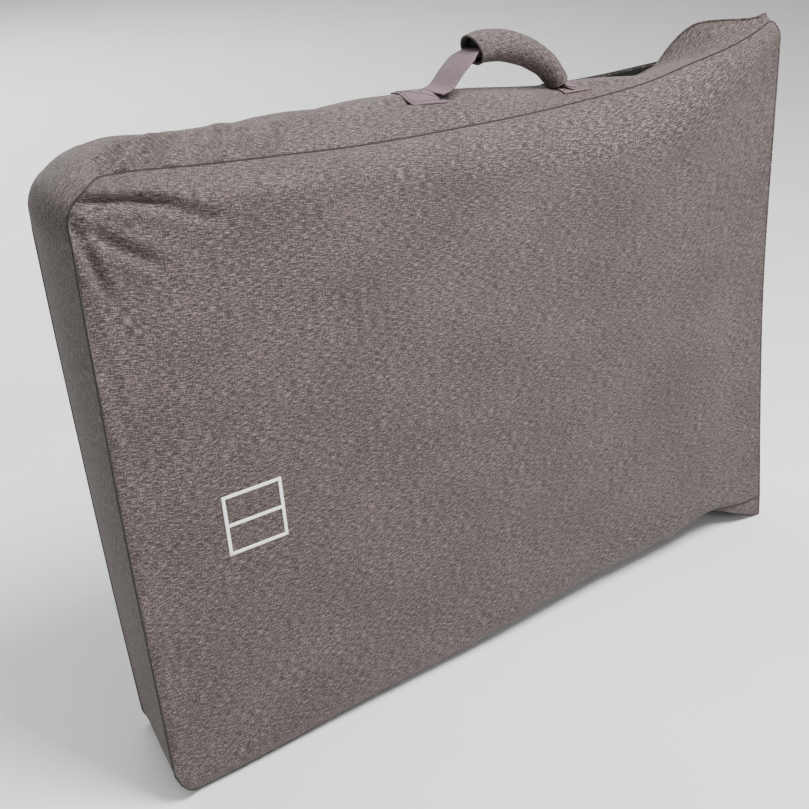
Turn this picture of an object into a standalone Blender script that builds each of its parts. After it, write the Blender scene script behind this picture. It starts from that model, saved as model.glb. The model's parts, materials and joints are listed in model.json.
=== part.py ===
"""Travel playpen, folded flat and standing on its long edge inside a cloth carry bag.

+X runs along the bag's length to its open mouth, -Y is the bag's front panel, +Z is up.
The origin is the centre of the base. All lengths are in metres.

The pen is two end frames that stay parallel. Folding top rails, a folding floor and
folding side walls join them, so the back frame moves away from the front one in Y.
"""
import math

import bmesh
import bpy

# Carry bag
BAG_LENGTH = 0.900
BAG_DEPTH = 0.160
BAG_HEIGHT = 0.650
CLOTH = 0.003
SEAM_GAP = 0.0003
SLIT_LENGTH = 0.130
SLIT_WIDTH = 0.030
CUT_REACH = 0.020

# Printed mark
EMBLEM_X = -0.316
EMBLEM_Z = 0.300
EMBLEM_SIZE = 0.064
EMBLEM_LINE = 0.004
EMBLEM_LAP = 0.001
PRINT_THICKNESS = 0.0007
PRINT_SKIN = 0.0001

# Carry handle
HANDLE_X = 0.082
HANDLE_SPAN = 0.190
HANDLE_RISE = 0.044
STRAP_WIDTH = 0.040
STRAP_THICKNESS = 0.0025
STRAP_LIFT = 0.0008
STRAP_STEPS = 7
PATCH_LENGTH = 0.036
PATCH_THICKNESS = 0.0022
PATCH_LAP = 0.006
GRIP_RADIUS = 0.0175
GRIP_CORE_RADIUS = 0.0130
GRIP_START = math.radians(-28.0)
GRIP_END = math.radians(52.0)
GRIP_GAP = math.radians(1.0)
GRIP_OVERRUN = math.radians(6.0)
GRIP_STEPS = 11

# Folded pen
PEN_LENGTH = 0.745
PEN_LEFT = -0.425
PEN_BASE = 0.016
PEN_HEIGHT = 0.600
FRAME_Y = 0.050
TUBE_RADIUS = 0.011
TUBE_WALL = 0.0014
POST_INSET = 0.013
FOOT_HEIGHT = 0.034
FOOT_ROUNDING = 0.009
CORNER_HEIGHT = 0.031
CORNER_INNER = 0.015
FRAME_BLOCK = 0.01275
EAR_THICKNESS = 0.005
EAR_LAP = 0.010
EAR_REACH = 0.005
EAR_INSET = 0.002
EAR_FLUSH = 0.0002
END_FABRIC = 0.002
FABRIC_INSET = 0.002
SOFT_EDGE = 0.003

# Folding rails and floor share one arm length and one offset, so both stay in step
ARM = 0.470
ARM_OFFSET = 0.013
RAIL_WIDTH = 0.0175
RAIL_DEPTH = 0.020
RAIL_END = 0.010
RAIL_CLEARANCE = 0.0006
LOCK_LENGTH = 0.050
KNUCKLE_RADIUS = 0.007
KNUCKLE_CLEARANCE = 0.0006
PIN_RADIUS = 0.003
PIN_CLEARANCE = 0.0004
BORE_REACH = 0.010
BUTTON_SIZE = 0.012
BUTTON_DEPTH = 0.005
BUTTON_PROUD = 0.0035
BUTTON_EDGE = 0.001
POCKET_DEPTH = 0.0095
FLOOR_PIVOT_Z = 0.054
FLOOR_HALF_WIDTH = 0.332
FLOOR_TOP_GAP = 0.001
BOARD_INSET = 0.004
BOARD_THICKNESS = 0.007
BOARD_EDGE = 0.0015
MATTRESS_THICKNESS = 0.012
MATTRESS_EDGE = 0.004

# Side walls
WALL_THICKNESS = 0.002
WALL_LAYERS = (0.0355, 0.0315)
WALL_PIVOT_X = 0.345
WALL_LENGTH = 0.487
WALL_BASE = 0.048
WALL_TOP = 0.582

PEN_X = PEN_LEFT + PEN_LENGTH / 2
POST_X = PEN_LENGTH / 2 - POST_INSET
PEN_TOP = PEN_BASE + PEN_HEIGHT
RAIL_PIVOT_Z = PEN_TOP - CORNER_HEIGHT / 2
LOCK_Z = RAIL_PIVOT_Z - ARM
SIDES = {"left": -1, "right": 1}
ENDS = {"front": -1, "back": 1}


def clear_scene():
    """Remove every object so that the script always starts from nothing."""
    for item in list(bpy.data.objects):
        bpy.data.objects.remove(item, do_unlink=True)


clear_scene()
PARTS = bpy.data.collections.new("playpen")
CUTTERS = bpy.data.collections.new("cutters")
bpy.context.scene.collection.children.link(PARTS)
bpy.context.scene.collection.children.link(CUTTERS)


def material(name, colour, roughness, metallic=0.0):
    """A Principled BSDF material of one colour."""
    finish = bpy.data.materials.new(name)
    finish.use_nodes = True
    shader = finish.node_tree.nodes["Principled BSDF"]
    shader.inputs["Base Color"].default_value = (*colour, 1.0)
    shader.inputs["Roughness"].default_value = roughness
    shader.inputs["Metallic"].default_value = metallic
    return finish


BAG_CLOTH = material("bag_cloth", (0.190, 0.160, 0.150), 0.9)
WEBBING = material("webbing", (0.230, 0.170, 0.185), 0.8)
FOAM = material("grip_foam", (0.020, 0.020, 0.022), 0.9)
PRINT = material("white_print", (0.850, 0.850, 0.850), 0.6)
ALUMINIUM = material("tube_aluminium", (0.620, 0.630, 0.640), 0.35, 1.0)
PLASTIC = material("dark_plastic", (0.050, 0.050, 0.055), 0.5)
BUTTON = material("button_plastic", (0.450, 0.450, 0.460), 0.4)
STEEL = material("pin_steel", (0.560, 0.560, 0.570), 0.3, 1.0)
BOARD = material("floor_board", (0.100, 0.100, 0.105), 0.7)
MATTRESS = material("mattress_cloth", (0.300, 0.290, 0.290), 0.9)
WALL = material("wall_mesh", (0.150, 0.150, 0.160), 0.9)


def collect(item, name, collection):
    """Name an object and move it to one collection."""
    item.name = name
    item.data.name = name
    for owner in list(item.users_collection):
        owner.objects.unlink(item)
    collection.objects.link(item)
    return item


def make_cutter(item, name):
    """File an object as a cutter, which is left out of the part."""
    collect(item, name, CUTTERS)
    item.hide_render = True
    item.display_type = "WIRE"
    return item


def finish_part(item, name, finish, pivot):
    """File an object as a sub-part and hang it on its body's pivot."""
    collect(item, name, PARTS)
    item.data.materials.clear()
    item.data.materials.append(finish)
    item.parent = pivot
    item.location = item.location - pivot.location
    return item


def make_pivot(name, place):
    """An empty on a body's joint axis, which the body's pieces are parented to."""
    pivot = bpy.data.objects.new(name, None)
    pivot.location = place
    pivot.empty_display_size = 0.02
    PARTS.objects.link(pivot)
    return pivot


def raw_box(low, high, bevel=0.0):
    """A box between two corners, given in any order, with its edges rounded by a bevel."""
    size = [abs(b - a) for a, b in zip(low, high)]
    middle = [(a + b) / 2 for a, b in zip(low, high)]
    bpy.ops.mesh.primitive_cube_add(size=1.0, location=middle)
    item = bpy.context.object
    for vertex in item.data.vertices:
        vertex.co = [vertex.co[axis] * size[axis] for axis in range(3)]
    if bevel:
        rounding = item.modifiers.new("edge_rounding", "BEVEL")
        rounding.width = bevel
        rounding.segments = 2
    return item


def raw_cylinder(start, end, radius, sides=16, closed=True):
    """A cylinder between two points that differ along one axis."""
    span = [b - a for a, b in zip(start, end)]
    length = max(abs(value) for value in span)
    turn = (0.0, 0.0, 0.0)
    if abs(span[0]) == length:
        turn = (0.0, math.pi / 2, 0.0)
    elif abs(span[1]) == length:
        turn = (math.pi / 2, 0.0, 0.0)
    middle = [(a + b) / 2 for a, b in zip(start, end)]
    fill = "NGON" if closed else "NOTHING"
    bpy.ops.mesh.primitive_cylinder_add(vertices=sides, radius=radius, depth=length,
                                        end_fill_type=fill, location=middle, rotation=turn)
    item = bpy.context.object
    item.data.shade_smooth()
    item.data.set_sharp_from_angle(angle=math.radians(40))
    return item


def box(name, low, high, finish, pivot, bevel=0.0):
    """A box-shaped sub-part."""
    return finish_part(raw_box(low, high, bevel), name, finish, pivot)


def tube(name, start, end, radius, finish, pivot):
    """A hollow tube with open ends: an open cylinder given a wall."""
    item = raw_cylinder(start, end, radius, closed=False)
    wall = item.modifiers.new("tube_wall", "SOLIDIFY")
    wall.thickness = TUBE_WALL
    wall.offset = -1.0
    return finish_part(item, name, finish, pivot)


def combine(item, other, operation):
    """Cut another shape from a piece, or join it to the piece."""
    step = item.modifiers.new(operation.lower(), "BOOLEAN")
    step.operation = operation
    step.object = other
    return item


def bore(item, name, start, end, radius):
    """Drill a round hole between two points."""
    return combine(item, make_cutter(raw_cylinder(start, end, radius), name), "DIFFERENCE")


def handle_arc(angle):
    """A point on the handle's arch, where angle 0 is the top and +-90 degrees its feet."""
    x = HANDLE_X + HANDLE_SPAN / 2 * math.sin(angle)
    z = BAG_HEIGHT + PATCH_THICKNESS + STRAP_LIFT + HANDLE_RISE * math.cos(angle)
    return x, z


def strap_outline(first, last, count):
    """The strap's outline, seen from the front: its centre line moved out and back in."""
    outer = []
    inner = []
    for index in range(count):
        angle = first + (last - first) * index / (count - 1)
        x, z = handle_arc(angle)
        along = (HANDLE_SPAN / 2 * math.cos(angle), -HANDLE_RISE * math.sin(angle))
        size = math.hypot(*along)
        normal = (-along[1] / size, along[0] / size)
        half = STRAP_THICKNESS / 2
        outer.append((x + normal[0] * half, z + normal[1] * half))
        inner.append((x - normal[0] * half, z - normal[1] * half))
    return outer + inner[::-1]


def curve_mesh(curve_data, name, turn=(0.0, 0.0, 0.0)):
    """Turn a curve into a mesh with welded caps."""
    curve = bpy.data.objects.new(name, curve_data)
    curve.rotation_euler = turn
    CUTTERS.objects.link(curve)
    bpy.context.view_layer.update()
    graph = bpy.context.evaluated_depsgraph_get()
    mesh = bpy.data.meshes.new_from_object(curve.evaluated_get(graph))
    shape = bmesh.new()
    shape.from_mesh(mesh)
    bmesh.ops.remove_doubles(shape, verts=shape.verts, dist=0.00002)
    bmesh.ops.transform(shape, matrix=curve.matrix_world, verts=shape.verts)
    bmesh.ops.recalc_face_normals(shape, faces=shape.faces)
    shape.to_mesh(mesh)
    shape.free()
    bpy.data.objects.remove(curve)
    item = bpy.data.objects.new(name, mesh)
    PARTS.objects.link(item)
    return item


def handle_strap(name, first, last, finish, pivot):
    """A flat webbing strap that follows the handle's arch between two angles."""
    flat = bpy.data.curves.new(name, "CURVE")
    flat.dimensions = "2D"
    flat.fill_mode = "BOTH"
    flat.extrude = STRAP_WIDTH / 2
    points = strap_outline(first, last, STRAP_STEPS)
    line = flat.splines.new("POLY")
    line.points.add(len(points) - 1)
    for point, (x, z) in zip(line.points, points):
        point.co = (x, z, 0.0, 1.0)
    line.use_cyclic_u = True
    item = curve_mesh(flat, name, (math.pi / 2, 0.0, 0.0))
    return finish_part(item, name, finish, pivot)


def grip_bar(name, radius, overrun=0.0):
    """A round bar that follows the handle's arch from one end of the grip to the other."""
    bar = bpy.data.curves.new(name, "CURVE")
    bar.dimensions = "3D"
    bar.bevel_depth = radius
    bar.bevel_resolution = 2
    bar.use_fill_caps = True
    line = bar.splines.new("POLY")
    line.points.add(GRIP_STEPS - 1)
    for index, point in enumerate(line.points):
        share = index / (GRIP_STEPS - 1)
        x, z = handle_arc(GRIP_START - overrun + (GRIP_END - GRIP_START + 2 * overrun) * share)
        point.co = (x, 0.0, z, 1.0)
    return curve_mesh(bar, name)


def make_bag():
    """The carry bag: two panels and three gussets, open at the +X end."""
    pivot = make_pivot("bag_body", (0.0, 0.0, 0.0))
    half_length = BAG_LENGTH / 2
    half_depth = BAG_DEPTH / 2
    front_y = -half_depth + PRINT_THICKNESS + SEAM_GAP
    box("bag_front_panel", (-half_length, front_y, 0.0),
        (half_length, front_y + CLOTH, BAG_HEIGHT), BAG_CLOTH, pivot)
    box("bag_back_panel", (-half_length, half_depth - CLOTH, 0.0),
        (half_length, half_depth, BAG_HEIGHT), BAG_CLOTH, pivot)
    low_y = front_y + CLOTH + SEAM_GAP
    high_y = half_depth - CLOTH - SEAM_GAP
    box("bag_bottom_gusset", (-half_length, low_y, 0.0), (half_length, high_y, CLOTH),
        BAG_CLOTH, pivot)
    box("bag_end_gusset", (-half_length, low_y, CLOTH + SEAM_GAP),
        (-half_length + CLOTH, high_y, BAG_HEIGHT - CLOTH - SEAM_GAP), BAG_CLOTH, pivot)
    top = box("bag_top_gusset", (-half_length, low_y, BAG_HEIGHT - CLOTH),
              (half_length, high_y, BAG_HEIGHT), BAG_CLOTH, pivot)
    slit = raw_box((half_length - SLIT_LENGTH, high_y - SLIT_WIDTH, BAG_HEIGHT - CUT_REACH),
                   (half_length + CUT_REACH, high_y + CUT_REACH, BAG_HEIGHT + CUT_REACH))
    combine(top, make_cutter(slit, "top_slit"), "DIFFERENCE")
    for side, sign in SIDES.items():
        x = HANDLE_X + sign * (HANDLE_SPAN / 2 + PATCH_LENGTH / 2 - PATCH_LAP)
        box("handle_patch_" + side,
            (x - PATCH_LENGTH / 2, -STRAP_WIDTH / 2, BAG_HEIGHT + SEAM_GAP),
            (x + PATCH_LENGTH / 2, STRAP_WIDTH / 2, BAG_HEIGHT + PATCH_THICKNESS),
            WEBBING, pivot)
    make_emblem(pivot, -half_depth)
    return pivot


def make_emblem(pivot, front_y):
    """A plain printed square frame with a level bar, a neutral mark on the front."""
    x = EMBLEM_X
    z = EMBLEM_Z
    half = EMBLEM_SIZE / 2
    back_y = front_y + PRINT_THICKNESS
    item = raw_box((x - half, front_y, z - half), (x + half, back_y, z + half))
    inner = half - EMBLEM_LINE
    window = raw_box((x - inner, front_y - CUT_REACH, z - inner),
                     (x + inner, back_y + CUT_REACH, z + inner))
    combine(item, make_cutter(window, "emblem_window"), "DIFFERENCE")
    bar = raw_box((x - half + EMBLEM_LAP, front_y + PRINT_SKIN, z - EMBLEM_LINE / 2),
                  (x + half - EMBLEM_LAP, back_y - PRINT_SKIN, z + EMBLEM_LINE / 2))
    combine(item, make_cutter(bar, "emblem_bar"), "UNION")
    finish_part(item, "emblem_print", PRINT, pivot)


def make_handle():
    """The carry handle: webbing at both ends and a padded grip between them."""
    pivot = make_pivot("handle_body", (HANDLE_X, 0.0, BAG_HEIGHT + PATCH_THICKNESS))
    quarter = math.pi / 2
    handle_strap("handle_strap_left", -quarter, GRIP_START - GRIP_GAP, WEBBING, pivot)
    handle_strap("handle_strap_right", GRIP_END + GRIP_GAP, quarter, WEBBING, pivot)
    core = grip_bar("grip_core", GRIP_CORE_RADIUS)
    finish_part(core, "grip_core", FOAM, pivot)
    sleeve = grip_bar("grip_sleeve", GRIP_RADIUS)
    hollow = grip_bar("grip_hollow", GRIP_CORE_RADIUS + PIN_CLEARANCE, GRIP_OVERRUN)
    combine(sleeve, make_cutter(hollow, "grip_hollow"), "DIFFERENCE")
    finish_part(sleeve, "grip_sleeve", BAG_CLOTH, pivot)


def make_end_frame(end, sign):
    """One end frame: two posts, two cross tubes, corners, feet and a fabric panel."""
    y = sign * FRAME_Y
    pivot = make_pivot(end + "_frame_body", (PEN_X - POST_X, sign * ARM_OFFSET, RAIL_PIVOT_Z))
    foot_top = PEN_BASE + FOOT_HEIGHT
    corner_base = PEN_TOP - CORNER_HEIGHT
    outer_y = y + sign * FRAME_BLOCK
    for side, hand in SIDES.items():
        x = PEN_X + hand * POST_X
        label = end + "_" + side
        tube(label + "_post", (x, y, foot_top + SEAM_GAP), (x, y, corner_base - SEAM_GAP),
             TUBE_RADIUS, ALUMINIUM, pivot)
        box(label + "_foot", (x - POST_INSET, outer_y, PEN_BASE),
            (x + POST_INSET, y - sign * FRAME_BLOCK, foot_top), PLASTIC, pivot, FOOT_ROUNDING)
        make_corner(label + "_corner", x, y, hand, sign, outer_y, corner_base, pivot)
    reach = POST_X - POST_INSET - SEAM_GAP
    for label, z in (("top", RAIL_PIVOT_Z), ("bottom", PEN_BASE + FOOT_HEIGHT / 2)):
        tube(end + "_" + label + "_tube", (PEN_X - reach, y, z), (PEN_X + reach, y, z),
             TUBE_RADIUS, ALUMINIUM, pivot)
    edge = POST_X - TUBE_RADIUS - FABRIC_INSET
    box(end + "_end_fabric", (PEN_X - edge, y - END_FABRIC / 2, foot_top + SEAM_GAP),
        (PEN_X + edge, y + END_FABRIC / 2, corner_base + FABRIC_INSET), WALL, pivot)


def make_corner(name, x, y, hand, sign, outer_y, base, pivot):
    """A top corner with an ear that carries the rail's hinge pin."""
    item = raw_box((x - POST_INSET, outer_y, base),
                   (x + POST_INSET, y - sign * CORNER_INNER, PEN_TOP), SOFT_EDGE)
    outer_x = x + hand * POST_INSET
    ear = raw_box((outer_x - hand * EAR_THICKNESS, y - sign * EAR_LAP, base + EAR_INSET),
                  (outer_x - hand * EAR_FLUSH, sign * EAR_REACH, PEN_TOP - EAR_INSET))
    combine(item, make_cutter(ear, name + "_ear"), "UNION")
    start = (outer_x - hand * BORE_REACH, sign * ARM_OFFSET, RAIL_PIVOT_Z)
    end = (outer_x + hand * BORE_REACH, sign * ARM_OFFSET, RAIL_PIVOT_Z)
    bore(item, name + "_bore", start, end, PIN_RADIUS + PIN_CLEARANCE)
    finish_part(item, name, PLASTIC, pivot)


def rail_faces(hand):
    """The inner and outer X of the rails on one side of the pen."""
    outer = PEN_X + hand * (POST_X + POST_INSET - EAR_THICKNESS - RAIL_CLEARANCE)
    return outer - hand * RAIL_WIDTH, outer


def make_rail(side, hand, end, sign):
    """Half of a folding top rail, its half of the centre lock, and the end hinge pin."""
    inner_x, outer_x = rail_faces(hand)
    y = sign * ARM_OFFSET
    place = (PEN_X + hand * POST_X, y, RAIL_PIVOT_Z)
    if end == "back":
        place = (PEN_X + hand * POST_X, 0.0, LOCK_Z)
    label = end + "_" + side
    pivot = make_pivot(label + "_rail_body", place)
    near_y = sign * (ARM_OFFSET - RAIL_DEPTH / 2)
    far_y = sign * (ARM_OFFSET + RAIL_DEPTH / 2)
    lock_top = LOCK_Z + LOCK_LENGTH
    rail = raw_box((inner_x, near_y, lock_top + SEAM_GAP),
                   (outer_x, far_y, RAIL_PIVOT_Z + RAIL_END), SOFT_EDGE)
    hole = PIN_RADIUS + PIN_CLEARANCE
    bore(rail, label + "_rail_bore", (inner_x - hand * BORE_REACH, y, RAIL_PIVOT_Z),
         (outer_x + hand * BORE_REACH, y, RAIL_PIVOT_Z), hole)
    finish_part(rail, label + "_rail", ALUMINIUM, pivot)
    pin = raw_cylinder((inner_x, y, RAIL_PIVOT_Z),
                       (outer_x + hand * (EAR_THICKNESS + PIN_CLEARANCE), y, RAIL_PIVOT_Z), PIN_RADIUS)
    finish_part(pin, label + "_rail_pin", STEEL, pivot)
    make_lock_half(label, inner_x, outer_x, near_y, far_y, lock_top, sign, pivot)
    if end == "front":
        make_lock_pin(side, inner_x, outer_x, pivot)
        make_button(side, hand, outer_x, y, pivot)
    return pivot


def make_lock_half(label, inner_x, outer_x, near_y, far_y, lock_top, sign, pivot):
    """Half of the centre lock: a block with one knuckle, hollowed for the other's knuckle."""
    middle_x = (inner_x + outer_x) / 2
    own_x, other_x = (inner_x, outer_x) if sign < 0 else (outer_x, inner_x)
    toward = math.copysign(SEAM_GAP, own_x - other_x)
    block = raw_box((inner_x, near_y, LOCK_Z + SEAM_GAP), (outer_x, far_y, lock_top))
    past = math.copysign(BORE_REACH, other_x - own_x)
    relief = make_cutter(raw_cylinder((other_x + past, 0.0, LOCK_Z), (middle_x + toward, 0.0, LOCK_Z),
                                      KNUCKLE_RADIUS + KNUCKLE_CLEARANCE), label + "_relief")
    combine(block, relief, "DIFFERENCE")
    knuckle = make_cutter(raw_cylinder((own_x, 0.0, LOCK_Z), (middle_x + toward, 0.0, LOCK_Z),
                                       KNUCKLE_RADIUS), label + "_knuckle")
    combine(block, knuckle, "UNION")
    bore(block, label + "_lock_bore", (own_x - past, 0.0, LOCK_Z), (other_x + past, 0.0, LOCK_Z),
         PIN_RADIUS + PIN_CLEARANCE)
    if sign < 0:
        hand = math.copysign(1.0, outer_x - inner_x)
        half = BUTTON_SIZE / 2 + PIN_CLEARANCE
        z = lock_top - BUTTON_SIZE
        pocket = raw_box((outer_x - hand * POCKET_DEPTH, -ARM_OFFSET - half, z - half),
                         (outer_x + hand * CUT_REACH, -ARM_OFFSET + half, z + half))
        combine(block, make_cutter(pocket, label + "_pocket"), "DIFFERENCE")
    finish_part(block, label + "_lock", PLASTIC, pivot)


def make_lock_pin(side, inner_x, outer_x, pivot):
    """The pin of the centre lock's hinge."""
    pin = raw_cylinder((inner_x, 0.0, LOCK_Z), (outer_x, 0.0, LOCK_Z), PIN_RADIUS)
    finish_part(pin, side + "_lock_pin", STEEL, pivot)


def make_button(side, hand, outer_x, y, rail_pivot):
    """The release button, pressed inward along X to free the centre lock."""
    z = LOCK_Z + LOCK_LENGTH - BUTTON_SIZE
    half = BUTTON_SIZE / 2
    face = outer_x + hand * BUTTON_PROUD
    pivot = make_pivot(side + "_button_body", (face, y, z))
    box(side + "_release_button", (face - hand * (BUTTON_DEPTH + BUTTON_PROUD), y - half, z - half),
        (face, y + half, z + half), BUTTON, pivot, BUTTON_EDGE)


def make_floor(end, sign):
    """Half of the floor: a stiff board with its half of the mattress."""
    place = (PEN_X, sign * ARM_OFFSET, FLOOR_PIVOT_Z)
    if end == "back":
        place = (PEN_X, 0.0, FLOOR_PIVOT_Z + ARM)
    pivot = make_pivot(end + "_floor_body", place)
    top = FLOOR_PIVOT_Z + ARM - FLOOR_TOP_GAP
    board_y = sign * BOARD_INSET
    pad_y = board_y + sign * (BOARD_THICKNESS + SEAM_GAP)
    box(end + "_floor_board", (PEN_X - FLOOR_HALF_WIDTH, board_y, FLOOR_PIVOT_Z),
        (PEN_X + FLOOR_HALF_WIDTH, board_y + sign * BOARD_THICKNESS, top), BOARD, pivot,
        BOARD_EDGE)
    box(end + "_mattress", (PEN_X - FLOOR_HALF_WIDTH, pad_y, FLOOR_PIVOT_Z + BOARD_INSET),
        (PEN_X + FLOOR_HALF_WIDTH, pad_y + sign * MATTRESS_THICKNESS,
         top - FLOOR_TOP_GAP), MATTRESS, pivot, MATTRESS_EDGE)


def make_wall(side, hand, end, sign):
    """Half of a side wall, folded flat behind its end frame and hinged at the post."""
    layer = WALL_LAYERS[0] if side == "left" else WALL_LAYERS[1]
    y = sign * layer
    x = PEN_X + hand * WALL_PIVOT_X
    pivot = make_pivot(end + "_" + side + "_wall_body", (x, y, WALL_BASE))
    box(end + "_" + side + "_wall", (x, y - WALL_THICKNESS / 2, WALL_BASE),
        (x - hand * WALL_LENGTH, y + WALL_THICKNESS / 2, WALL_TOP), WALL, pivot)


make_bag()
make_handle()
for end_name, end_sign in ENDS.items():
    make_end_frame(end_name, end_sign)
    make_floor(end_name, end_sign)
    for side_name, side_hand in SIDES.items():
        make_rail(side_name, side_hand, end_name, end_sign)
        make_wall(side_name, side_hand, end_name, end_sign)
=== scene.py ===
# %% [markdown]
# This lesson dresses a travel playpen that is folded flat inside its cloth carry bag.
# The rigid frame is loaded first and stays fixed. Every soft piece is then worked out as
# a surface around it, in metres: +X towards the bag's mouth, -Y out of its front, +Z up.

# %% Load the frame
import json
import math

import bmesh
import bpy
import numpy as np
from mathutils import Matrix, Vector

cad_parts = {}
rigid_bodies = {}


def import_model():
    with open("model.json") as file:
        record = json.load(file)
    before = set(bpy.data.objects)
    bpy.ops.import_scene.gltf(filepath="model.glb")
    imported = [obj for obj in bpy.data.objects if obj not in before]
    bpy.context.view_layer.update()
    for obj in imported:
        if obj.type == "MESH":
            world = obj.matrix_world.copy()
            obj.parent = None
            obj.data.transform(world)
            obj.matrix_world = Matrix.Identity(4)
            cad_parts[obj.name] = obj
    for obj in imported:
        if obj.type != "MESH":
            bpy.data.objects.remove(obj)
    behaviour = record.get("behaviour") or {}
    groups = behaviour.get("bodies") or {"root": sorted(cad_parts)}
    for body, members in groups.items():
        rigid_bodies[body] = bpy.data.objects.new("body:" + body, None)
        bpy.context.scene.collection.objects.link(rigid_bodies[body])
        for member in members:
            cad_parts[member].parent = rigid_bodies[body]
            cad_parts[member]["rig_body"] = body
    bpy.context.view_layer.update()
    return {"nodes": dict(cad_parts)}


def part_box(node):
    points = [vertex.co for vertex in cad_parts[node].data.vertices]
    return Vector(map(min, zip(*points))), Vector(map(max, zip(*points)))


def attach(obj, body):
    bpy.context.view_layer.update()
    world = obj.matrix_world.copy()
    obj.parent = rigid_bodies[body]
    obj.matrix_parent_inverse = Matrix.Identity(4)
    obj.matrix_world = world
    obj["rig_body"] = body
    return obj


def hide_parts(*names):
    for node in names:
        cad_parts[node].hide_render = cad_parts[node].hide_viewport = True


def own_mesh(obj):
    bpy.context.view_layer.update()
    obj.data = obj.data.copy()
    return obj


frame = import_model()
NODES = frame["nodes"]

# %% [markdown]
# The camera comes first. A medium lens a little over a metre away gives the strong
# perspective of a close snapshot. It looks down on the bag from beyond its closed end.

# %% Camera
CAMERA_PLACE = (-0.8010, -1.1280, 0.9296)
CAMERA_TURN = (65.452, 4.558, -34.945)
CAMERA_LENS = 56.97
camera_data = bpy.data.cameras.new("camera")
camera_data.lens = CAMERA_LENS
camera_data.sensor_width = 36.0
camera = bpy.data.objects.new("camera", camera_data)
camera.location = CAMERA_PLACE
camera.rotation_euler = [math.radians(angle) for angle in CAMERA_TURN]
bpy.context.scene.collection.objects.link(camera)
bpy.context.scene.camera = camera

# %% [markdown]
# Cloth shows its weave best in soft light that rakes over it. A large lamp overhead
# brightens the top, a weaker one fills the front and a faint one the back. One more
# whitens the floor behind the bag, and a pale world lifts the shadows.

# %% Lights


def area_light(name, place, target, size, power):
    """A square lamp at one place that points at another."""
    lamp = bpy.data.lights.new(name, "AREA")
    lamp.size = size
    lamp.energy = power
    item = bpy.data.objects.new(name, lamp)
    item.location = place
    aim = Vector(target) - Vector(place)
    item.rotation_euler = aim.to_track_quat("-Z", "Y").to_euler()
    bpy.context.scene.collection.objects.link(item)
    return item


area_light("overhead_lamp", (0.3, -1.0, 2.2), (0.0, 0.0, 0.3), 0.9, 116.0)
area_light("front_lamp", (-0.2, -2.6, 1.5), (0.0, 0.0, 0.35), 1.3, 23.0)
area_light("backdrop_lamp", (-0.6, 4.6, 3.4), (-0.6, 4.9, 0.0), 4.0, 420.0)
area_light("back_lamp", (0.9, 2.0, 1.4), (0.0, 0.0, 0.4), 1.4, 12.0)
world = bpy.data.worlds.new("pale_world")
world.use_nodes = True
world.node_tree.nodes["Background"].inputs["Color"].default_value = (1.0, 1.0, 1.0, 1.0)
world.node_tree.nodes["Background"].inputs["Strength"].default_value = 0.26
bpy.context.scene.world = world

# %% [markdown]
# Shader maths reads best as plain expressions. A Flow wraps one output socket, and its
# operators add Math nodes. A Recipe is one material that can add any other node.

# %% Shader helpers


class Flow:
    """One output socket whose arithmetic adds Math nodes."""

    def __init__(self, recipe, socket):
        self.recipe = recipe
        self.socket = socket

    def math(self, operation, *others):
        values = {0: self}
        for index, other in enumerate(others):
            values[index + 1] = other
        return self.recipe.add("ShaderNodeMath", {"operation": operation}, values)

    def __add__(self, other):
        return self.math("ADD", other)

    def __mul__(self, other):
        return self.math("MULTIPLY", other)

    def __sub__(self, other):
        return self.math("SUBTRACT", other)

    def __rsub__(self, other):
        return self.recipe.add("ShaderNodeMath", {"operation": "SUBTRACT"}, {0: other, 1: self})

    def __truediv__(self, other):
        return self.math("DIVIDE", other)

    __radd__ = __add__
    __rmul__ = __mul__


class Recipe:
    """A material, with one method that adds a node."""

    def __init__(self, name, roughness=0.8, metallic=0.0):
        self.material = bpy.data.materials.new(name)
        self.material.use_nodes = True
        self.tree = self.material.node_tree
        self.shader = self.tree.nodes["Principled BSDF"]
        self.shader.inputs["Roughness"].default_value = roughness
        self.shader.inputs["Metallic"].default_value = metallic

    def add(self, kind, settings=None, values=None, output=0):
        """Add a node: its settings first, then the values or links of its sockets."""
        node = self.tree.nodes.new(kind)
        for key, value in (settings or {}).items():
            if key == "stops":
                self.set_stops(node.color_ramp, value)
            else:
                setattr(node, key, value)
        for key, value in (values or {}).items():
            self.feed(node.inputs[key], value)
        return Flow(self, node.outputs[output])

    def set_stops(self, ramp, stops):
        while len(ramp.elements) < len(stops):
            ramp.elements.new(1.0)
        for element, (place, colour) in zip(ramp.elements, stops):
            element.position = place
            element.color = (*colour, 1.0)

    def feed(self, socket, value):
        if isinstance(value, Flow):
            self.tree.links.new(value.socket, socket)
        else:
            socket.default_value = value

    def use(self, name, value):
        """Send a value to one of the shader's own sockets."""
        self.feed(self.shader.inputs[name], value)

    def place(self, kind="Object"):
        """The coordinates that a pattern follows."""
        node = self.tree.nodes.new("ShaderNodeTexCoord")
        return Flow(self, node.outputs[kind])

    def stretched(self, where, scale):
        """Coordinates multiplied by a different number along each axis."""
        return self.add("ShaderNodeVectorMath", {"operation": "MULTIPLY"}, {0: where, 1: scale})

    def noise(self, where, scale, detail=2.0):
        """Smooth noise between 0 and 1 on stretched coordinates."""
        spread = self.stretched(where, scale)
        return self.add("ShaderNodeTexNoise", {}, {"Vector": spread, "Scale": 1.0, "Detail": detail})

    def ramp(self, value, stops):
        return self.add("ShaderNodeValToRGB", {"stops": stops}, {"Fac": value})

    def bump(self, height, strength, distance):
        links = {"Height": height, "Strength": strength, "Distance": distance}
        self.use("Normal", self.add("ShaderNodeBump", {}, links))


# %% [markdown]
# The bag's cloth is a melange: pale and dark fibres are spun together, so the thread
# changes tone along its length. Short streaks along the length lie over weaker ones
# across it. The pattern follows each panel's own UV map, which is measured in metres.

# %% Cloth materials
THREAD_PITCH = 0.0009


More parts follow.
